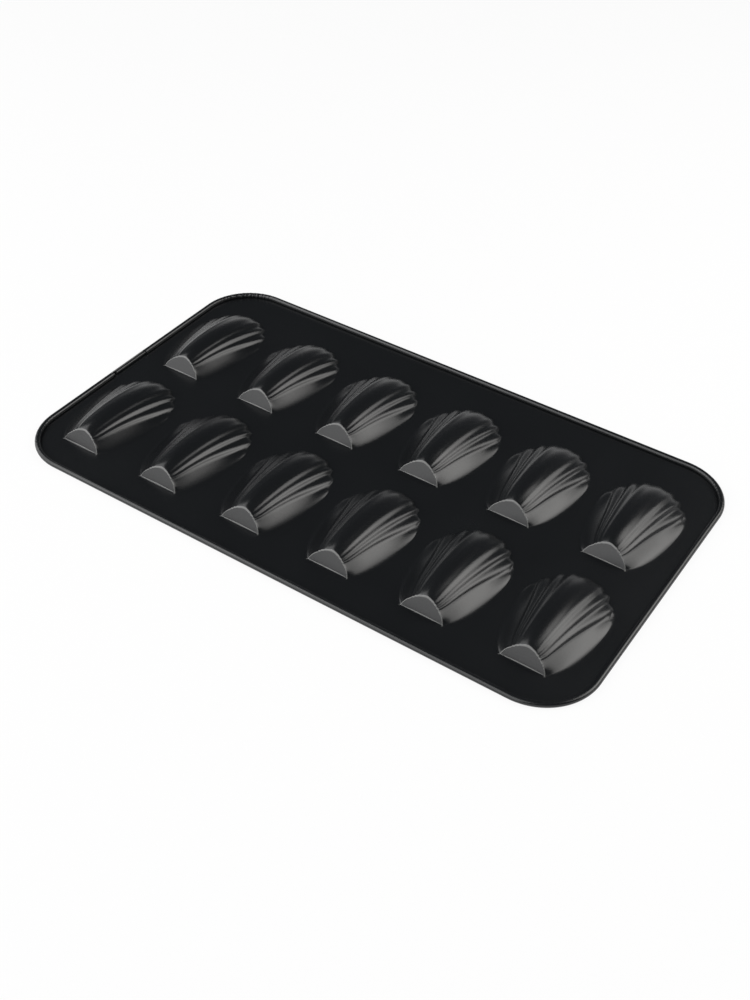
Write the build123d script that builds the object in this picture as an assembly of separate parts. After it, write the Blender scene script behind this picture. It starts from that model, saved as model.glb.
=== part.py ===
from build123d import *
import math
import os

# Madeleine pan for twelve cakes, in millimetres.
# It lies upside down, as it is stored: the domes of the cups stand up and the flat sheet lies at the bottom.
# The origin is in the middle of the pan, on the face that it rests on.
# Cups run along Y, from the flat facet of the narrow end to the scalloped wide end.

# Layout of the pressed sheet
columns = 6
rows = 2
sheet_thickness = 0.6
cup_gap = 9.6
row_gap = 17.4
end_margin = 11.2
side_margin = 27.0
corner_radius = 35.5
cups_shift_x = -2.7
cups_shift_y = -2.4

# Outline and height of one cup, at the upper face of the sheet
cup_length = 77.0
cup_width = 52.4
cup_depth = 12.0
widest_at = 42.0
facet_width = 26.0
facet_height = 9.6
facet_lean = 62.0
last_foot_at = 48.0

# Shape of one cup: powers of its outline and of its sections, and where the crest is highest
outline_power = 2.3
section_width_powers = (1.65, 2.3, 2.3)
section_height_powers = (0.6, 1.9, 0.65)
crest_peak = 0.4
crest_fall_power = 2.6
crest_round_power = 0.62
foot_pace = 1.3
lean_pace = 2.6
stations = (0.0, 0.2, 0.5, 0.75, 0.92, 1.0)

# Nine ribs of one cup, parted by sharp valleys: a middle rib, three on each side and a plain one at the foot.
# Each valley is at a share of the half width, at the facet, halfway and at the wide end.
# The crests of the ribs lie on the smooth dome, and the valleys are drawn in from it by a share of its radius.
valley_starts = (0.26, 0.44, 0.58, 0.69)
valley_middles = (0.19, 0.35, 0.49, 0.62)
valley_ends = (0.173, 0.47, 0.71, 0.935)
valley_draw = 0.09

# Stretching of the sheet in the press: how far the cavity's wall stands in from the dome's
wall_inset = 0.25
dome_root = 0.3

# Rolled rim with the wire inside it, and the gap in the roll where the ends of the wire meet.
# Both are drawn with flats instead of a full round, which keeps the model light.
bead_diameter = 3.6
bead_sides = 12
curl_sides = 10
curl_start = -90.0
wire_clearance = 0.1
window_length = 32.5
window_shift = -7.4
window_wrap = 135.0
window_overcut = 5.0
wire_gap = 2.0
wire_gap_inset = 2.0

# Sizes that follow from the ones above
cup_pitch = cup_width + cup_gap
row_pitch = cup_length + row_gap
pan_length = (columns - 1) * cup_pitch + cup_width + 2 * end_margin
pan_width = (rows - 1) * row_pitch + cup_length + 2 * side_margin
bead_radius = bead_diameter / 2
wire_radius = bead_radius - sheet_thickness - wire_clearance


def mix(start, middle, end, s):
    """Value that runs smoothly through three others as s goes from 0 to 1."""
    return start * (1 - s) * (1 - 2 * s) + middle * 4 * s * (1 - s) + end * s * (2 * s - 1)


def outline_half_width(y):
    """Half the width of the cup's outline at y: a superellipse, longer on the narrow side."""
    half = cup_width / 2
    facet_share = (facet_width / 2 / half) ** outline_power
    near_axis = widest_at / (1 - facet_share) ** (1 / outline_power)
    axis = near_axis if y < widest_at else cup_length - widest_at
    return half * (1 - (abs(y - widest_at) / axis) ** outline_power) ** (1 / outline_power)


def crest_height(s):
    """Height of the cup's middle line: a short rise from the facet, then a long fall."""
    if s < crest_peak:
        return cup_depth - (cup_depth - facet_height) * (1 - s / crest_peak) ** 2
    fall = (s - crest_peak) / (1 - crest_peak)
    return cup_depth * (1 - fall**crest_fall_power) ** crest_round_power


def cup_section(s, base_z, inset, skirt):
    """Closed section of a cup at station s: nine ribs over a foot that reaches below base_z."""
    foot_y = last_foot_at * s**foot_pace
    facet_reach = facet_height / math.tan(math.radians(facet_lean))
    reach = facet_reach + (cup_length - last_foot_at - facet_reach) * s**lean_pace
    half = outline_half_width(foot_y) - inset
    width_power = mix(*section_width_powers, s)
    height_power = mix(*section_height_powers, s)
    foot = Vector(0, foot_y + inset * (1 - s), base_z)
    lean = Vector(0, reach - inset * s, crest_height(s))
    across = Vector(1, 0, 0)
    up = lean.normalized()

    def place(share, draw):
        rise = max(0.0, 1 - abs(share) ** width_power) ** height_power
        return foot + (across * (share * half) + lean * rise) * (1 - draw)

    right = [mix(*shares, s) for shares in zip(valley_starts, valley_middles, valley_ends)]
    valleys = [-share for share in reversed(right)] + right
    points = [place(-1, 0), place(valleys[0], valley_draw)]
    for first, second in zip(valleys, valleys[1:]):
        points += [place((first + second) / 2, 0), place(second, valley_draw)]
    points += [place(1, 0), place(1, 0) - up * skirt, place(-1, 0) - up * skirt]
    return Wire(Polyline(*points, close=True).edges())


def cup_form(base_z, inset, skirt):
    """Solid form of a cup: a ruled loft through sections that lean further and further forward."""
    return Solid.make_loft([cup_section(s, base_z, inset, skirt) for s in stations], ruled=True)


def cup_places():
    """Middle of each cup's facet edge, column by column in each row."""
    block_length = (rows - 1) * row_pitch + cup_length
    places = []
    for row in range(rows):
        y = cups_shift_y - block_length / 2 + row * row_pitch
        for column in range(columns):
            x = cups_shift_x + (column - (columns - 1) / 2) * cup_pitch
            places.append(Location((x, y, 0)))
    return places


def ring_sector(inner, outer, start, size):
    """Face between two circles, over an angle counted from straight outward and up."""
    outer_arc = CenterArc((0, 0), outer, start, size)
    inner_arc = CenterArc((0, 0), inner, start, size)
    return make_face([outer_arc, Line(outer_arc @ 1, inner_arc @ 1), inner_arc, Line(inner_arc @ 0, outer_arc @ 0)])


def rim_path(gap_start, gap):
    """Middle line of the rolled rim, clockwise from the left side round to the left side."""
    x = pan_length / 2 - bead_radius
    y = pan_width / 2 - bead_radius
    r = corner_radius - bead_radius
    z = bead_radius
    left_end = Vector(-x, gap_start + gap, z)
    left_start = Vector(-x, gap_start, z)
    corners = [
        Line(left_end, (-x, y - r, z)),
        RadiusArc((-x, y - r, z), (-x + r, y, z), r),
        Line((-x + r, y, z), (x - r, y, z)),
        RadiusArc((x - r, y, z), (x, y - r, z), r),
        Line((x, y - r, z), (x, -y + r, z)),
        RadiusArc((x, -y + r, z), (x - r, -y, z), r),
        Line((x - r, -y, z), (-x + r, -y, z)),
        RadiusArc((-x + r, -y, z), (-x, -y + r, z), r),
        Line((-x, -y + r, z), left_start),
    ]
    return Wire(corners)


def rim_plane(y):
    """Plane across the left side of the rim: x points outward and y points up."""
    return Plane((-pan_length / 2 + bead_radius, y, bead_radius), x_dir=(-1, 0, 0), z_dir=(0, 1, 0))


def rolled_rim():
    """Edge of the sheet, rolled up and inward round the wire, with a gap where the wire's ends meet."""
    inner = bead_radius - sheet_thickness
    flat_angle = 360 / bead_sides
    angles = [curl_start + flat_angle * n for n in range(curl_sides + 1)]
    outer_points = [Vector(bead_radius, 0).rotate(Axis.Z, angle) for angle in angles]
    inner_points = [Vector(inner, 0).rotate(Axis.Z, angle) for angle in reversed(angles)]
    profile = rim_plane(window_shift) * make_face(Polyline(*outer_points, *inner_points, close=True))
    curl = sweep(profile, path=rim_path(window_shift, 0))
    cut_inner = inner / 2
    cut_outer = bead_radius * 2
    cut_angle = flat_angle * curl_sides - window_wrap + window_overcut
    opened = ring_sector(cut_inner, cut_outer, curl_start + window_wrap, cut_angle)
    window_start = rim_plane(window_shift - window_length / 2)
    return curl - extrude(window_start * opened, window_length)


def flat_sheet():
    """Flat part of the sheet, up to the line where the rim begins to roll."""
    outline = RectangleRounded(pan_length - bead_diameter, pan_width - bead_diameter, corner_radius - bead_radius)
    return extrude(outline, sheet_thickness)


def pressed_sheet():
    """Sheet with its cups pressed out of it and its edge rolled."""
    dome = cup_form(sheet_thickness, 0, dome_root)
    cavity = cup_form(0, wall_inset, sheet_thickness)
    sheet = flat_sheet() + [place * dome for place in cup_places()]
    sheet = sheet - [place * cavity for place in cup_places()]
    return sheet + rolled_rim()


def rim_wire():
    """Wire that stiffens the rim, bent round the pan until its ends nearly meet."""
    joint = window_shift - window_length / 2 + wire_gap_inset
    path = rim_path(joint, wire_gap)
    section = rim_plane(joint + wire_gap) * RegularPolygon(wire_radius, bead_sides)
    return sweep(section, path=path)


os.makedirs("parts", exist_ok=True)
export_step(pressed_sheet(), "parts/pressed_sheet.step")
export_step(rim_wire(), "parts/rim_wire.step")
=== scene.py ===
import math

import bmesh
import bpy
import numpy as np
from mathutils import Matrix, Vector


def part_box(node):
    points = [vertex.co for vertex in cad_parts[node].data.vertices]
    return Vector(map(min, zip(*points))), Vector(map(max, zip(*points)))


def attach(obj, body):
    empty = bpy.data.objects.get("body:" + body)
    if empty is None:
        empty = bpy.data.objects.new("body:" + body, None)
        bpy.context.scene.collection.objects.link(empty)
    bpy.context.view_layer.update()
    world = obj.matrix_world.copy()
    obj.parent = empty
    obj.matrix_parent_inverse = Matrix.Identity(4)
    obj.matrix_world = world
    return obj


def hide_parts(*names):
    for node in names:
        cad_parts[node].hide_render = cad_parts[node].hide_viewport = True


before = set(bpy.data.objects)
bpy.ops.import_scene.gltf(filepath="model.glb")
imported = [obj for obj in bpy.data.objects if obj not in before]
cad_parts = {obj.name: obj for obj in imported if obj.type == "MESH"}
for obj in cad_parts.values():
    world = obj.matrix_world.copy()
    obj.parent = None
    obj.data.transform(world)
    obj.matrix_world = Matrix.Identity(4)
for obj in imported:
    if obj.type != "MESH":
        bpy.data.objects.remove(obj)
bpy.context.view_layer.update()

# Cups: twelve shallow shells pressed out of the sheet, six in a row, with their domes up.
# Each one fans out from a flat facet at its narrow end into nine rounded ribs, and its wall runs
# into the flat of the sheet in a small radius, as it does under a press tool.
columns, rows = 6, 2
sheet_thickness = 0.0006
cup_length, cup_width, cup_depth = 0.077, 0.0524, 0.01192
cup_gap, row_gap = 0.0096, 0.0174
cups_shift = (-0.0027, -0.0024)
# Outline at the sheet, facet, and powers of the outline, of the sections and of the crest
widest_at = 0.042
facet_width, facet_height, facet_lean = 0.026, 0.0096, math.radians(62)
last_foot_at = 0.048
outline_power = 2.3
section_width_powers = (1.65, 2.3, 2.3)
section_height_powers = (0.6, 1.9, 0.65)
crest_peak, crest_fall_power, crest_round_power = 0.4, 2.6, 0.62
foot_pace, lean_pace = 1.3, 2.6
# Valleys at shares of the half width, and how far they are drawn in: each at the facet, halfway and
# at the wide end. Then the round of the ribs, and how the ribs flatten at the middle and at the foot.
valley_shares = ((0.26, 0.19, 0.173), (0.44, 0.35, 0.47), (0.58, 0.49, 0.71), (0.69, 0.62, 0.935))
valley_draws = (0.03, 0.032, 0.075)
rib_power, soft_share = 2.2, 0.92
flat_ribs_to, flat_rib_draw, foot_fade = 0.55, 0.2, 0.15
flank_fade, flank_crowding = 0.5, 1.7
# Small radii, insets and the flange that meets the land
foot_radius = 0.0003
outline_inset, wall_inset = 0.0001, 0.00025
facet_edge, longest_edge = 0.0005, 0.45
flange = 0.0015
spine_start, spine_end = 0.012, 0.05
# Steps of the grid, with its first rows crowded where the facet and the body begin
rib_steps, flank_steps = 8, 14
edge_steps, body_steps = 4, 44
facet_levels = (0, 0.025, 0.045, 0.065, 0.12, 0.4, 0.7, 0.955, 1.0)
facet_steps = len(facet_levels) - 1
body_start, body_crowding = 0.03, 1.6
tangent_reach = 3
cup_crease = math.radians(35)
# Rows of the facet along its lower edge that get a painted highlight, a pale line that stands in for the
# light this edge catches
highlight_rows = (1, 2)

cup_pitch, row_pitch = cup_width + cup_gap, cup_length + row_gap


def through(values, s):
    """Parabola that meets three values at 0, 0.5 and 1, for s from 0 to 1."""
    first, middle, last = values
    return first * (1 - s) * (1 - 2 * s) + middle * 4 * s * (1 - s) + last * s * (2 * s - 1)


def outline_half_width(y):
    """Superellipse |x/a|^n + |(y - y0)/b|^n = 1 solved for x, with a longer b on the narrow side of y0."""
    half = cup_width / 2
    near_axis = widest_at / (1 - (facet_width / 2 / half) ** outline_power) ** (1 / outline_power)
    axis = np.where(y < widest_at, near_axis, cup_length - widest_at)
    return half * np.maximum(0, 1 - (np.abs(y - widest_at) / axis) ** outline_power) ** (1 / outline_power)


def crest_height(s):
    """Parabola up from the facet to the peak, then depth * (1 - t^p)^q down to the sheet."""
    rise = cup_depth - (cup_depth - facet_height) * (1 - s / crest_peak) ** 2
    fall = np.clip((s - crest_peak) / (1 - crest_peak), 0, 1)
    return np.where(s < crest_peak, rise, cup_depth * (1 - fall**crest_fall_power) ** crest_round_power)


def rib_columns(s):
    """Share of the half width, and draw of the sheet, at each column of the grid for stations s.

    Between two valleys the share runs evenly, and with t from -1 to 1 across the rib the draw is a mix of
    |t|^p, which is sharp in the valley, and (1 - cos(pi t)) / 2, which is soft there.
    On the outer flank the columns crowd towards the foot and the draw fades out by its middle."""
    right = [through(shares, s) for shares in valley_shares]
    valleys = [-share for share in reversed(right)] + right
    t = np.linspace(-1, 1, rib_steps + 1)
    rib_draw = (1 - soft_share) * np.abs(t) ** rib_power + soft_share * (0.5 - 0.5 * np.cos(math.pi * t))
    u = np.linspace(0, 1, flank_steps + 1)
    shares, draws = [], []
    for first, second in zip(valleys, valleys[1:]):
        middle, half = (first + second) / 2, (second - first) / 2
        shares.append((middle[:, None] + half[:, None] * t)[:, :-1])
        draws.append(np.broadcast_to(rib_draw, (len(s), rib_steps + 1))[:, :-1])
    outer = right[-1][:, None] + (1 - right[-1][:, None]) * (1 - (1 - u) ** flank_crowding)
    outer_draw = np.broadcast_to(np.maximum(0, 1 - u / flank_fade) ** 2, outer.shape)
    shares = [-outer[:, :0:-1]] + shares + [outer]
    draws = [outer_draw[:, :0:-1]] + draws + [outer_draw]
    return np.concatenate(shares, axis=1), np.concatenate(draws, axis=1)


def ribbed_section(s, inset, relief):
    """Points of the ribbed body for stations s: foot + (across * share * half + lean * rise) * (1 - draw).

    rise = (1 - |share|^w)^h, and foot, half and lean change with s, so each section leans further forward.
    The valleys are shallower near the middle line and fade out at the foot. With relief 0 there are none."""
    share, draw = rib_columns(s)
    foot_y = last_foot_at * s**foot_pace
    facet_reach = facet_height / math.tan(facet_lean)
    reach = facet_reach + (cup_length - last_foot_at - facet_reach) * s**lean_pace
    half = outline_half_width(foot_y) - inset
    width_power = through(section_width_powers, s)[:, None]
    height_power = through(section_height_powers, s)[:, None]
    rise = np.maximum(0, 1 - np.abs(share) ** width_power) ** height_power
    outward = np.clip(np.abs(share) / flat_ribs_to, 0, 1)
    fade = np.clip((1 - np.abs(share)) / foot_fade, 0, 1)
    strength = (flat_rib_draw + (1 - flat_rib_draw) * outward**2) * fade
    keep = 1 - draw * through(valley_draws, s)[:, None] * strength * relief
    x = share * half[:, None] * keep
    y = (foot_y + inset * (1 - s))[:, None] + (reach - inset * s)[:, None] * rise * keep
    z = crest_height(s)[:, None] * rise * keep
    return np.stack([x, y, z], axis=-1)


def cup_surface(base, inset, relief=1.0):
    """One face of a cup as a grid of points: the flat facet, its rounded edge, the ribbed body.

    A point lower than the foot radius r moves out, away from the spine, by r - sqrt(r^2 - (r - z)^2)."""
    share = np.linspace(0, 1, body_steps + 1)
    s = body_start + (1 - body_start) * (1 - (1 - share) ** body_crowding)
    body = ribbed_section(s, inset, relief)
    arc = ribbed_section(np.zeros(1), inset, relief)[0]
    chord = arc * (1, 0, 0) + (0, inset, 0)
    height = np.linalg.norm(arc - chord, axis=-1, keepdims=True)
    stop = 1 - np.minimum(longest_edge, facet_edge / np.maximum(height, 1e-9))
    levels = np.array(facet_levels)[:, None, None]
    facet = chord + (arc - chord) * stop * levels
    t = (np.arange(1, edge_steps) / edge_steps)[:, None, None]
    edge = (1 - t) ** 2 * facet[-1] + 2 * t * (1 - t) * arc + t**2 * body[0]
    points = np.concatenate([facet, edge, body])
    spine = np.clip(points[..., 1], spine_start, spine_end)
    level = np.stack([points[..., 0], points[..., 1] - spine, np.zeros(spine.shape)], axis=-1)
    level /= np.linalg.norm(level, axis=-1, keepdims=True) + 1e-9
    depth = np.clip(1 - points[..., 2:] / foot_radius, 0, 1)
    points = points + level * foot_radius * (1 - np.sqrt(1 - depth**2))
    return points + (0, 0, base)


def ring_of(grid):
    """Edge of a cup's grid, once round: chord, right side, wide end, left side."""
    first = facet_steps
    return np.concatenate([grid[0, :-1], grid[first:-1, -1], grid[-1, :0:-1], grid[:first:-1, 0]])


def flange_ring():
    """Ring outside the cup's foot: the outline without ribs, moved out along its level normal."""
    ring = ring_of(cup_surface(0, outline_inset, relief=0.0))[:, :2]
    tangent = np.roll(ring, -tangent_reach, axis=0) - np.roll(ring, tangent_reach, axis=0)
    normal = np.stack([tangent[:, 1], -tangent[:, 0]], axis=-1)
    normal /= np.linalg.norm(normal, axis=-1, keepdims=True)
    return ring + normal * (flange - foot_radius)


def grid_quads(n_rows, n_columns, start=0, closed=False):
    """Quads of a grid of points numbered row by row; closed joins its last column to its first."""
    row = np.arange(n_rows - 1)[:, None] * n_columns
    column = np.arange(n_columns if closed else n_columns - 1)[None, :]
    after = (column + 1) % n_columns
    a, b, c, d = row + column, row + after, row + n_columns + after, row + n_columns + column
    return np.stack([a, b, c, d], axis=-1).reshape(-1, 4) + start


def ring_indices(n_rows, n_columns):
    """Numbers of the points that ring_of takes from a grid with that many rows and columns."""
    return ring_of(np.arange(n_rows * n_columns).reshape(n_rows, n_columns, 1))[:, 0]


merge_distance = 2e-7
level_cosine = 0.99999


def mesh_object(name, points, faces, crease=None, painted_edge_highlight=None):
    """Mesh object in place from points and faces, with doubles merged.

    It is smooth, but for level faces, which stay flat, and for edges sharper than the crease angle."""
    mesh = bpy.data.meshes.new(name)
    face_rows = faces.tolist() if isinstance(faces, np.ndarray) else faces
    mesh.from_pydata(points.reshape(-1, 3).tolist(), [], face_rows)
    if painted_edge_highlight is not None:
        mask = mesh.attributes.new("painted_edge_highlight", "FLOAT", "POINT")
        mask.data.foreach_set("value", painted_edge_highlight.astype(np.float32))
    work = bmesh.new()
    work.from_mesh(mesh)
    bmesh.ops.remove_doubles(work, verts=work.verts, dist=merge_distance)
    work.to_mesh(mesh)
    work.free()
    normals = np.zeros(len(mesh.polygons) * 3, np.float32)
    mesh.polygons.foreach_get("normal", normals)
    level = np.abs(normals.reshape(-1, 3)[:, 2]) > level_cosine
    mesh.polygons.foreach_set("use_smooth", ~level)
    if crease is not None:
        mesh.set_sharp_from_angle(angle=crease)
    mesh.update()
    piece = bpy.data.objects.new(name, mesh)
    bpy.context.scene.collection.objects.link(piece)
    return piece


def cup_places():
    """Middle of each cup's facet edge, row by row, as an array of x and y."""
    block_length = (rows - 1) * row_pitch + cup_length
    x = cups_shift[0] + (np.arange(columns) - (columns - 1) / 2) * cup_pitch
    y = cups_shift[1] - block_length / 2 + np.arange(rows) * row_pitch
    return np.stack(np.meshgrid(x, y), axis=-1).reshape(rows, columns, 2)


def cup_shell():
    """Points, faces and bare-edge mask of one cup at the origin.

    Points, faces and painted-highlight mask of one cup at the origin; the mask is 1 on the facet's rounded
    edge and lower edge."""
    upper = cup_surface(sheet_thickness, outline_inset)
    lower = cup_surface(0, outline_inset + wall_inset)
    n_rows, n_columns = upper.shape[:2]
    ring = ring_indices(n_rows, n_columns)
    rim = flange_ring()
    count, size = len(ring), n_rows * n_columns
    upper_rim = np.column_stack([rim, np.full(count, sheet_thickness)])
    lower_rim = np.column_stack([rim, np.zeros(count)])
    points = np.concatenate([upper.reshape(-1, 3), upper_rim, lower.reshape(-1, 3), lower_rim])
    up_rim = size + np.arange(count)
    low_rim = up_rim + count + size
    low_ring = ring + size + count
    following = np.roll(np.arange(count), -1)
    faces = [
        grid_quads(n_rows, n_columns),
        np.stack([up_rim, up_rim[following], ring[following], ring], axis=-1),
        grid_quads(n_rows, n_columns, size + count)[:, ::-1],
        np.stack([low_ring, low_ring[following], low_rim[following], low_rim], axis=-1),
        np.stack([up_rim, low_rim, low_rim[following], up_rim[following]], axis=-1),
    ]
    # The mask paints a highlight: pale grey on the facet's rounded edge and along its lower edge, standing in
    # for the light these edges catch.
    row = np.arange(n_rows)[:, None]
    rounded_edge = (row >= facet_steps) & (row < facet_steps + edge_steps)
    lower_edge = (row >= highlight_rows[0]) & (row <= highlight_rows[1])
    mask = np.where(rounded_edge | lower_edge, 1.0, 0.0)
    highlight_mask = np.concatenate([np.broadcast_to(mask, (n_rows, n_columns)).ravel(), np.zeros(2 * count + size)])
    return points, np.concatenate(faces), highlight_mask


# Coating: size and height of the grit against the peel's, the dust specks, the grey of the painted highlight
# on the facets' edges and the grey of dust, and the sheet's own colour, roughness and depth of peel
grit_size, grit_height = 0.22, 0.12
speck_cells, speck_radius, speck_chance = 70.0, 0.016, 0.05
# The first grey is a painted highlight for the facets' edges; the second is the grey of dust.
painted_highlight_grey, dust_grey = (0.13, 0.13, 0.127, 1), (0.5, 0.5, 0.5, 1)
sheet_black, sheet_roughness, sheet_peel = (0.0062, 0.0068, 0.0076), 0.26, 0.000009


def coat_texture():
    """Sprayed non-stick coating: fine orange peel, a faint cloudiness of tone, and a few dust specks.

    Height is a fine noise plus an eighth of a finer one; Tone is 1 give or take a slow noise; Specks is 1
    close to the centres of a few cells of a cell pattern."""
    group = bpy.data.node_groups.new("sprayed_coat", "ShaderNodeTree")
    group.interface.new_socket(name="Vector", in_out="INPUT", socket_type="NodeSocketVector")
    inputs = {"Peel size": 0.0011, "Cloud size": 0.05, "Cloud depth": 0.12, "Speck amount": 0.5}
    for name, start in inputs.items():
        socket = group.interface.new_socket(name=name, in_out="INPUT", socket_type="NodeSocketFloat")
        socket.default_value = start
    for name in ("Height", "Tone", "Specks"):
        group.interface.new_socket(name=name, in_out="OUTPUT", socket_type="NodeSocketFloat")
    nodes, link = group.nodes, group.links.new
    entry, leave = nodes.new("NodeGroupInput"), nodes.new("NodeGroupOutput")

    def math_node(operation, first, second=None, third=None):
        node = nodes.new("ShaderNodeMath")
        node.operation = operation
        for socket, value in zip(node.inputs, (first, second, third)):
            if isinstance(value, (int, float)):
                socket.default_value = value
            elif value is not None:
                link(value, socket)
        return node.outputs[0]

    def noise(size, detail):
        node = nodes.new("ShaderNodeTexNoise")
        node.inputs["Detail"].default_value = detail
        link(entry.outputs["Vector"], node.inputs["Vector"])
        link(math_node("DIVIDE", 1.0, size), node.inputs["Scale"])
        return node.outputs["Fac"]

    peel = noise(entry.outputs["Peel size"], 1.0)
    grit = noise(math_node("MULTIPLY", entry.outputs["Peel size"], grit_size), 0.0)
    link(math_node("MULTIPLY_ADD", grit, grit_height, peel), leave.inputs["Height"])
    cloud = noise(entry.outputs["Cloud size"], 3.0)
    swing = math_node("MULTIPLY", math_node("SUBTRACT", cloud, 0.5), entry.outputs["Cloud depth"])
    link(math_node("MULTIPLY_ADD", swing, 2.0, 1.0), leave.inputs["Tone"])
    cells = nodes.new("ShaderNodeTexVoronoi")
    cells.inputs["Scale"].default_value = speck_cells
    link(entry.outputs["Vector"], cells.inputs["Vector"])
    chance = math_node("MULTIPLY", entry.outputs["Speck amount"], speck_chance)
    picked = math_node("GREATER_THAN", cells.outputs["Color"], math_node("SUBTRACT", 1.0, chance))
    near = math_node("LESS_THAN", cells.outputs["Distance"], speck_radius)
    link(math_node("MULTIPLY", picked, near), leave.inputs["Specks"])
    return group


def black_coating(name, colour, roughness, peel_depth, highlight_attribute=None):
    """Satin black coating on steel, with a fine peel, and a painted highlight of pale grey where the named
    mask is high.
    """
    material = bpy.data.materials.new(name)
    material.use_nodes = True
    nodes, link = material.node_tree.nodes, material.node_tree.links.new
    shader = nodes["Principled BSDF"]
    shader.inputs["Specular IOR Level"].default_value = 0.5
    place = nodes.new("ShaderNodeTexCoord")
    coat = nodes.new("ShaderNodeGroup")
    coat.node_tree = sprayed_coat
    link(place.outputs["Object"], coat.inputs["Vector"])
    tint = nodes.new("ShaderNodeMix")
    tint.data_type, tint.blend_type = "RGBA", "MULTIPLY"
    tint.inputs["Factor"].default_value = 1.0
    tint.inputs["A"].default_value = (*colour, 1)
    link(coat.outputs["Tone"], tint.inputs["B"])
    colour_out = tint.outputs["Result"]
    # Painted highlight: pale grey is mixed in where the named mask is high.
    if highlight_attribute:
        highlight_input = nodes.new("ShaderNodeAttribute")
        highlight_input.attribute_name = highlight_attribute
        highlighted = nodes.new("ShaderNodeMix")
        highlighted.data_type = "RGBA"
        highlighted.inputs["B"].default_value = painted_highlight_grey
        link(highlight_input.outputs["Fac"], highlighted.inputs["Factor"])
        link(colour_out, highlighted.inputs["A"])
        colour_out = highlighted.outputs["Result"]
    dusty = nodes.new("ShaderNodeMix")
    dusty.data_type = "RGBA"
    dusty.inputs["B"].default_value = dust_grey
    link(coat.outputs["Specks"], dusty.inputs["Factor"])
    link(colour_out, dusty.inputs["A"])
    link(dusty.outputs["Result"], shader.inputs["Base Color"])
    sheen = nodes.new("ShaderNodeMath")
    sheen.operation = "MULTIPLY"
    sheen.inputs[1].default_value = roughness
    link(coat.outputs["Tone"], sheen.inputs[0])
    link(sheen.outputs[0], shader.inputs["Roughness"])
    bump = nodes.new("ShaderNodeBump")
    bump.inputs["Strength"].default_value = 1.0
    bump.inputs["Distance"].default_value = peel_depth
    link(coat.outputs["Height"], bump.inputs["Height"])
    link(bump.outputs["Normal"], shader.inputs["Normal"])
    return material


sprayed_coat = coat_texture()
# The sheet's coating carries the painted highlight along the cups' facet edges.
sheet_coating = black_coating("non_stick_coating", sheet_black, sheet_roughness, sheet_peel, "painted_edge_highlight")

shell_points, shell_faces, shell_highlight = cup_shell()
places = cup_places()
for row in range(rows):
    for column in range(columns):
        offset = np.append(places[row, column], 0)
        cup = mesh_object(f"cup_{'near far'.split()[row]}_{column + 1}", shell_points + offset, shell_faces,
                          crease=cup_crease, painted_edge_highlight=shell_highlight)
        cup.data.materials.append(sheet_coating)
        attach(cup, "root")
        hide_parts("pressed_sheet")

# Flat land of the sheet between the cups, out to where the edge begins to roll.
# One piece of steel with the cups, so it carries the same coating and meets each cup's flange exactly.
sheet_low, sheet_high = (np.array(corner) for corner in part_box("pressed_sheet"))
pan_half = (sheet_high - sheet_low)[:2] / 2
corner_radius = 0.0355
bead_radius = 0.0018
land_into_roll = 0.0003
land_steps = 4


def rounded(points, half, radius):
    """Moves the corner points of a box's border onto its rounded corners, along rays from their centres."""
    centre = half - radius
    beyond = np.maximum(np.abs(points) - centre, 0)
    both = (beyond > 0).all(axis=-1, keepdims=True)
    length = np.maximum(np.linalg.norm(beyond, axis=-1, keepdims=True), 1e-12)
    turned = np.sign(points) * (centre + beyond / length * radius)
    return np.where(both, turned, points)


def tile_border(row, column, sides):
    """Border of the land round one cup, in the order of its ring: half-way lines, or the pan's outline."""
    half = pan_half - bead_radius + land_into_roll
    x, y = places[row, column]
    low_x = -half[0] if column == 0 else x - cup_pitch / 2
    high_x = half[0] if column == columns - 1 else x + cup_pitch / 2
    low_y = -half[1] if row == 0 else y - row_gap / 2
    high_y = half[1] if row == rows - 1 else y + cup_length + row_gap / 2
    corners = np.array([[low_x, low_y], [high_x, low_y], [high_x, high_y], [low_x, high_y]])
    runs = []
    for number, count in enumerate(sides):
        t = (np.arange(count) / count)[:, None]
        runs.append(corners[number] * (1 - t) + corners[(number + 1) % 4] * t)
    return rounded(np.concatenate(runs), half, corner_radius - bead_radius + land_into_roll)


def land_mesh():
    """Land as rings from each cup's flange to its border, (1 - t) * ring + t * border, above and below."""
    across = shell_columns - 1
    along = (len(shell_ring) - 2 * across) // 2
    points, faces, start = [], [], 0
    t = np.linspace(0, 1, land_steps + 1)[:, None, None]
    for row in range(rows):
        for column in range(columns):
            inner = shell_ring + places[row, column]
            outer = tile_border(row, column, (across, along, across, along))
            flat = (1 - t) * inner + t * outer
            count = flat.shape[1]
            for z, turn in ((sheet_thickness, -1), (0.0, 1)):
                level = np.full(flat.shape[:2] + (1,), z)
                points.append(np.concatenate([flat, level], axis=-1).reshape(-1, 3))
                faces.append(grid_quads(land_steps + 1, count, start, closed=True)[:, ::turn])
                start += flat.shape[0] * count
            top, bottom = start - 2 * flat.shape[0] * count, start - flat.shape[0] * count
            here, after = np.arange(count), np.roll(np.arange(count), -1)
            faces.append(np.stack([top + here, top + after, bottom + after, bottom + here], axis=-1))
            on_outline = np.repeat([row == 0, column == columns - 1, row == rows - 1, column == 0],
                                   (across, along, across, along))
            here, after = here[on_outline] + land_steps * count, after[on_outline] + land_steps * count
            faces.append(np.stack([bottom + here, bottom + after, top + after, top + here], axis=-1))
    return np.concatenate(points), np.concatenate(faces)


shell_columns = cup_surface(0, 0).shape[1]
shell_ring = flange_ring()
land = mesh_object("flat_land", *land_mesh())
land.data.materials.append(sheet_coating)
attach(land, "root")
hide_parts("pressed_sheet")

# Rolled rim: the sheet's edge, curled up and inward round a steel wire, five sixths of a turn.
# It is cut open on the left short side, where the ends of the wire meet, and it has puckered at the corners.
curl_start, curl_turn = math.radians(-90), math.radians(300)
window_shift, window_length = -0.0074, 0.0325
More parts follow.
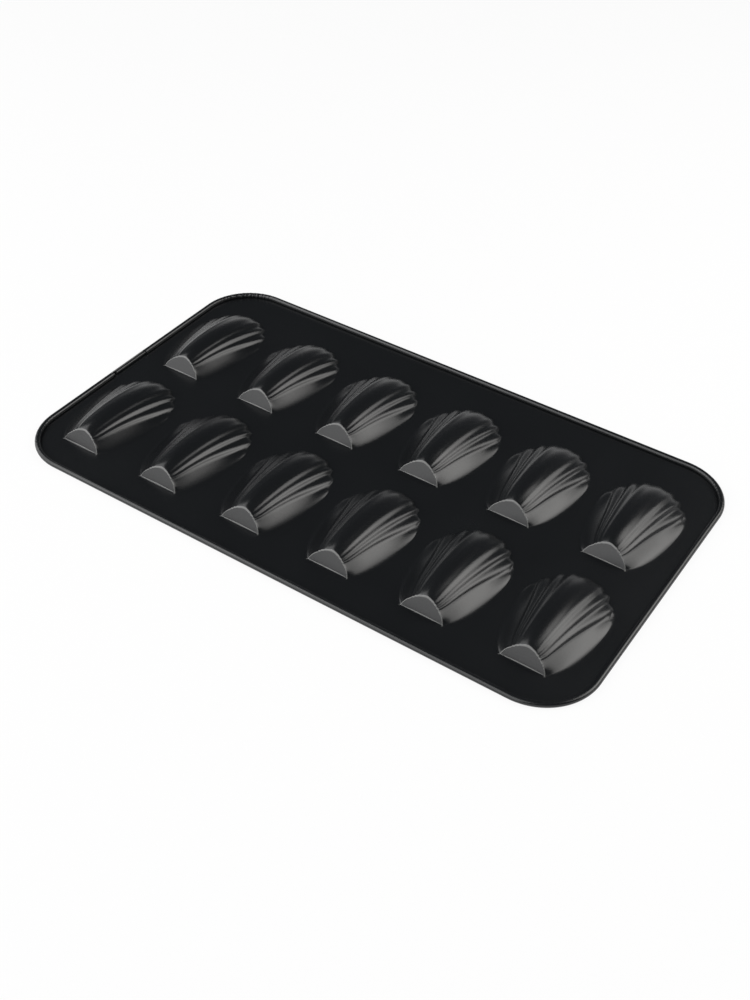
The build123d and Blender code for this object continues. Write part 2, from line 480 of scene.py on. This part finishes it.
# Steps round the roll, how many of them are left in the window, and steps along the rim
profile_steps, gutter_steps = 40, 18
straight_step, corner_step = 0.004, 0.0005
rim_crease = math.radians(45)
# Pucker: its depth, how far it may reach towards the wire, and its strength at each corner, clockwise from
# the far left
pucker_depth, wire_room = 0.00016, 0.00008
pucker_strengths = (1.0, 0.35, 0.1, 0.6)
# Waves of the pucker, by height, wave number along the rim, twist round the roll and phase, and what they
# are divided by
pucker_waves = ((1.0, 2300, 1.1, 0.0), (0.8, 3710, -0.7, 1.3), (0.6, 1390, 0.0, 2.1), (0.5, 6100, 2.0, 0.0))
waves_height = 1.4
# Growth of the pucker round the roll: by this share, from this angle, over this many degrees
pucker_growth = ((0.1, -80, 60), (0.9, 35, 80))


def rim_centre_line(stations):
    """Points, outward normals, corner numbers and corner masks at distances along the roll's middle line,
    and the distances at which its runs end.

    The line starts at the middle of the window and runs clockwise: straight, quarter circle, and so on.
    The mask is sqrt(sin(pi t)) through a corner and 0 along the straights."""
    half = pan_half - bead_radius
    radius = corner_radius - bead_radius
    length_y, length_x, quarter = 2 * (half[1] - radius), 2 * (half[0] - radius), radius * math.pi / 2
    start_y = window_shift
    runs = [half[1] - radius - start_y, quarter, length_x, quarter, length_y, quarter, length_x, quarter,
            start_y + half[1] - radius]
    ends = np.cumsum([0] + runs)
    u = stations % ends[-1]
    line = np.zeros((len(u), 2))
    normal = np.zeros((len(u), 2))
    corner = np.zeros(len(u), int)
    mask = np.zeros(len(u))
    starts = [(-half[0], start_y), None, (radius - half[0], half[1]), None, (half[0], half[1] - radius), None,
              (half[0] - radius, -half[1]), None, (-half[0], radius - half[1])]
    ways = [(0, 1), (1, 0), (1, 0), (0, -1), (0, -1), (-1, 0), (-1, 0), (0, 1), (0, 1)]
    centres = [None, (-1, 1), None, (1, 1), None, (1, -1), None, (-1, -1), None]
    for number, (low, high) in enumerate(zip(ends, ends[1:])):
        here = (u >= low) & (u <= high)
        distance = (u[here] - low)[:, None]
        if starts[number] is not None:
            way = np.array(ways[number])
            line[here] = np.array(starts[number]) + way * distance
            normal[here] = (-way[1], way[0])
        else:
            side = np.array(centres[number])
            turn = math.pi - (number // 2) * math.pi / 2 - distance[:, 0] / radius
            out = np.stack([np.cos(turn), np.sin(turn)], axis=-1)
            line[here] = side * (half - radius) + out * radius
            normal[here] = out
            corner[here] = number // 2
            mask[here] = np.sin(np.clip(distance[:, 0] / quarter, 0, 1) * math.pi) ** 0.5
    return line, normal, corner, mask, ends


def rim_stations(first, last):
    """Distances from first to last along the rim, closer together in the corners."""
    ends = rim_centre_line(np.zeros(1))[-1]
    marks = [first] + [end for end in ends if first < end < last] + [last]
    runs = []
    for low, high in zip(marks, marks[1:]):
        in_corner = np.searchsorted(ends, (low + high) / 2) % 2 == 0
        count = max(2, round((high - low) / (corner_step if in_corner else straight_step)))
        runs.append(low + (high - low) * np.arange(count) / count)
    return np.append(np.concatenate(runs), last)


def pucker(stations, angles, corner, mask):
    """Ripple of the roll in the corners: strength * growth * depth * sum of h sin(k u + c angle + phase).

    The growth runs up in two ramps from the outer side of the roll to its inner side."""
    strength = np.array(pucker_strengths)[corner] * mask
    u, angle = stations[:, None], angles[None, :]
    waves = sum(height * np.sin(u * number + twist * angle + phase)
                for height, number, twist, phase in pucker_waves)
    growth = sum(share * np.clip((angle - math.radians(start)) / math.radians(span), 0, 1)
                 for share, start, span in pucker_growth)
    return strength[:, None] * waves * growth * pucker_depth / waves_height


def rim_sections(stations):
    """Closed sections of the roll at distances along the rim: outer arc, the sheet's edge, inner arc back.

    A point of an arc is line + normal * r cos(angle), at the height bead radius + r sin(angle)."""
    line, normal, corner, mask = rim_centre_line(stations)[:4]
    angles = curl_start + curl_turn * np.arange(profile_steps + 1) / profile_steps
    ripple = pucker(stations, angles, corner, mask)
    outer_radius = bead_radius + ripple
    inner_radius = bead_radius - sheet_thickness + np.maximum(ripple, -wire_room)
    arcs = []
    for r, angle in ((outer_radius, angles), (inner_radius[:, ::-1], angles[::-1])):
        flat = line[:, None, :] + normal[:, None, :] * (r * np.cos(angle))[..., None]
        flat = np.clip(flat, -pan_half, pan_half)
        arcs.append(np.concatenate([flat, (bead_radius + r * np.sin(angle))[..., None]], axis=-1))
    return np.concatenate(arcs, axis=1)


def rim_mesh():
    """Whole rim as one closed surface: the full roll from one end of the window round to the other, and in
    the window only the first part of each section, which makes an open gutter there."""
    total = rim_centre_line(np.zeros(1))[-1][-1]
    half_window = window_length / 2
    roll = rim_sections(rim_stations(half_window, total - half_window))
    width, last_row = roll.shape[1], (len(roll) - 1) * roll.shape[1]
    faces = [grid_quads(len(roll), width, closed=True)]
    kept = np.r_[0:gutter_steps + 1, width - 1 - gutter_steps:width]
    gutter = rim_sections(rim_stations(total - half_window, total + half_window)[1:-1])[:, kept]
    own = roll.shape[0] * width + np.arange(gutter.shape[0] * len(kept)).reshape(-1, len(kept))
    index = np.vstack([last_row + kept, own, kept])
    beside = np.roll(index, -1, axis=1)
    faces.append(np.stack([index[:-1], beside[:-1], beside[1:], index[1:]], axis=-1).reshape(-1, 4))
    outer = np.arange(gutter_steps, profile_steps + 1)
    inner = width - 1 - outer
    cap = np.stack([outer[:-1], outer[1:], inner[1:], inner[:-1]], axis=-1)
    faces += [cap[:, ::-1], cap + last_row]
    return np.concatenate([roll.reshape(-1, 3), gutter.reshape(-1, 3)]), np.concatenate(faces)


rim = mesh_object("rolled_rim", *rim_mesh(), crease=rim_crease)
rim.data.materials.append(sheet_coating)
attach(rim, "root")
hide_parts("pressed_sheet")

# Wire inside the roll: drawn steel, bent round the whole pan, with its two ends nearly meeting in the window.
# It is coated with the sheet, so it shows as a smooth black rod where the roll is cut open.
wire_radius = 0.0011
wire_gap, wire_gap_inset = 0.002, 0.002
wire_sides, end_ring = 24, 0.82
wire_crease = math.radians(50)
wire_black, wire_roughness, wire_peel = (0.014, 0.0145, 0.015), 0.32, 0.000008


def wire_mesh():
    """Round tube along the roll's middle line, line + r (cos a, sin a), closed by a flat disc at each end."""
    total = rim_centre_line(np.zeros(1))[-1][-1]
    joint = total - window_length / 2 + wire_gap_inset
    inner = rim_stations(joint + wire_gap - total, joint) % total
    line, normal = rim_centre_line(inner)[:2]
    a = np.arange(wire_sides) / wire_sides * 2 * math.pi
    flat = line[:, None, :] + normal[:, None, :] * (wire_radius * np.cos(a))[None, :, None]
    level = np.broadcast_to(bead_radius + wire_radius * np.sin(a), flat.shape[:2])[..., None]
    points = np.concatenate([flat, level], axis=-1)
    centre = np.concatenate([line, np.full((len(line), 1), bead_radius)], axis=-1)[:, None, :]
    first, last = (centre[k] + (points[k] - centre[k]) * end_ring for k in (0, -1))
    middles = centre[[0, -1], 0]
    faces = grid_quads(len(inner), wire_sides, closed=True).tolist()
    size = points.shape[0] * wire_sides
    here, after = np.arange(wire_sides), np.roll(np.arange(wire_sides), -1)
    discs = ((0, size, size + 2 * wire_sides, 1),
             (size - wire_sides, size + wire_sides, size + 2 * wire_sides + 1, -1))
    for row, ring, middle, turn in discs:
        band = np.stack([row + here, ring + here, ring + after, row + after], axis=-1)
        fan = np.stack([ring + here, np.full(wire_sides, middle), ring + after], axis=-1)
        faces += band[:, ::turn].tolist() + fan[:, ::turn].tolist()
    return np.concatenate([points.reshape(-1, 3), first, last, middles]), faces


wire = mesh_object("rim_wire_round", *wire_mesh(), crease=wire_crease)
wire_coating = black_coating("wire_coating", wire_black, wire_roughness, wire_peel)
wire.data.materials.append(wire_coating)
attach(wire, "root")
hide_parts("rim_wire")

# Studio: a plain white floor, a dim room that is pale near the ground, and soft boxes.
# The floor is drawn white to the camera and to reflections, and keeps part of the pan's shadow.
# The camera sees the room as pale as the far floor, so that no horizon shows.
floor_size, floor_drop = 30.0, 0.00002
floor_white, floor_glow = 0.86, 0.9
backdrop_white = 0.905
bpy.ops.mesh.primitive_plane_add(size=floor_size, location=(0, 0, -floor_drop))
floor = bpy.context.object
floor.name = "floor"
paper = bpy.data.materials.new("floor_paper")
paper.use_nodes = True
nodes, link = paper.node_tree.nodes, paper.node_tree.links.new
diffuse = nodes["Principled BSDF"]
diffuse.inputs["Base Color"].default_value = (floor_white, floor_white, floor_white, 1)
diffuse.inputs["Roughness"].default_value = 1.0
diffuse.inputs["Specular IOR Level"].default_value = 0.0
glow = nodes.new("ShaderNodeEmission")
glow.inputs["Color"].default_value = (1, 1, 1, 1)
rays = nodes.new("ShaderNodeLightPath")
seen = nodes.new("ShaderNodeMath")
seen.operation = "MAXIMUM"
link(rays.outputs["Is Camera Ray"], seen.inputs[0])
link(rays.outputs["Is Glossy Ray"], seen.inputs[1])
seen_too = nodes.new("ShaderNodeMath")
seen_too.operation = "MAXIMUM"
link(seen.outputs[0], seen_too.inputs[0])
link(rays.outputs["Is Transmission Ray"], seen_too.inputs[1])
share = nodes.new("ShaderNodeMath")
share.operation = "MULTIPLY"
share.inputs[1].default_value = floor_glow
link(seen_too.outputs[0], share.inputs[0])
blend = nodes.new("ShaderNodeMixShader")
link(share.outputs[0], blend.inputs["Fac"])
link(diffuse.outputs[0], blend.inputs[1])
link(glow.outputs[0], blend.inputs[2])
link(blend.outputs[0], nodes["Material Output"].inputs["Surface"])
floor.data.materials.append(paper)

world = bpy.data.worlds.new("room")
bpy.context.scene.world = world
world.use_nodes = True
nodes, link = world.node_tree.nodes, world.node_tree.links.new
way = nodes.new("ShaderNodeTexCoord")
split = nodes.new("ShaderNodeSeparateXYZ")
ramp = nodes.new("ShaderNodeValToRGB")
near_ground, overhead = ramp.color_ramp.elements
near_ground.position, near_ground.color = 0.04, (0.9, 0.9, 0.9, 1)
overhead.position, overhead.color = 0.2, (0.05, 0.055, 0.06, 1)
link(way.outputs["Generated"], split.inputs[0])
link(split.outputs["Z"], ramp.inputs["Fac"])
rays = nodes.new("ShaderNodeLightPath")
backdrop = nodes.new("ShaderNodeMix")
backdrop.data_type = "RGBA"
backdrop.inputs["B"].default_value = (backdrop_white, backdrop_white, backdrop_white, 1)
link(rays.outputs["Is Camera Ray"], backdrop.inputs["Factor"])
link(ramp.outputs["Color"], backdrop.inputs["A"])
link(backdrop.outputs["Result"], nodes["Background"].inputs["Color"])


def soft_box(name, direction, distance, width, height, radiance, tint=(1, 1, 1)):
    """Rectangular lamp that faces the pan from a direction; its power is radiance * pi * area."""
    data = bpy.data.lights.new(name, "AREA")
    data.shape, data.size, data.size_y = "RECTANGLE", width, height
    data.energy = radiance * math.pi * width * height
    data.color = tint
    lamp = bpy.data.objects.new(name, data)
    bpy.context.scene.collection.objects.link(lamp)
    toward = Vector(direction).normalized()
    lamp.location = toward * distance
    lamp.rotation_euler = toward.to_track_quat("Z", "Y").to_euler()
    lamp.visible_camera = False
    return lamp


# The key light is a large box with a smaller core in front of it that adds to its middle, and two more boxes
# stand in for pale walls. Each has a direction, a distance, a width, a height and a radiance.
key_tint = (1.0, 0.985, 0.96)
soft_box("key_box", (0.61, 0.48, 0.63), 1.15, 1.25, 0.8, 2.7, key_tint)
soft_box("key_core", (0.58, 0.47, 0.665), 1.08, 0.5, 0.36, 1.9, key_tint)
soft_box("left_wall_box", (-0.76, -0.30, 0.56), 1.3, 1.2, 1.5, 2.0)
soft_box("near_wall_box", (-0.26, -0.78, 0.56), 2.0, 2.1, 2.4, 2.2)

# Camera at the photograph's viewing angle: its axes to the right, down and ahead, and its place.
view_right = (0.82976985, 0.55773921, 0.02022273)
view_down = (0.38247351, -0.54188528, -0.74838116)
view_ahead = (-0.40644312, 0.62871878, -0.66296055)
camera_place = (0.3345, -0.5145, 0.5167)
camera_data = bpy.data.cameras.new("camera")
camera_data.lens = 47.48
camera_data.sensor_width = 36.0
camera = bpy.data.objects.new("camera", camera_data)
bpy.context.scene.collection.objects.link(camera)
turned = Matrix([[r, -d, -a] for r, d, a in zip(view_right, view_down, view_ahead)])
camera.matrix_world = Matrix.Translation(camera_place) @ turned.to_4x4()
bpy.context.scene.camera = camera
bpy.context.scene.view_settings.view_transform = "Standard"
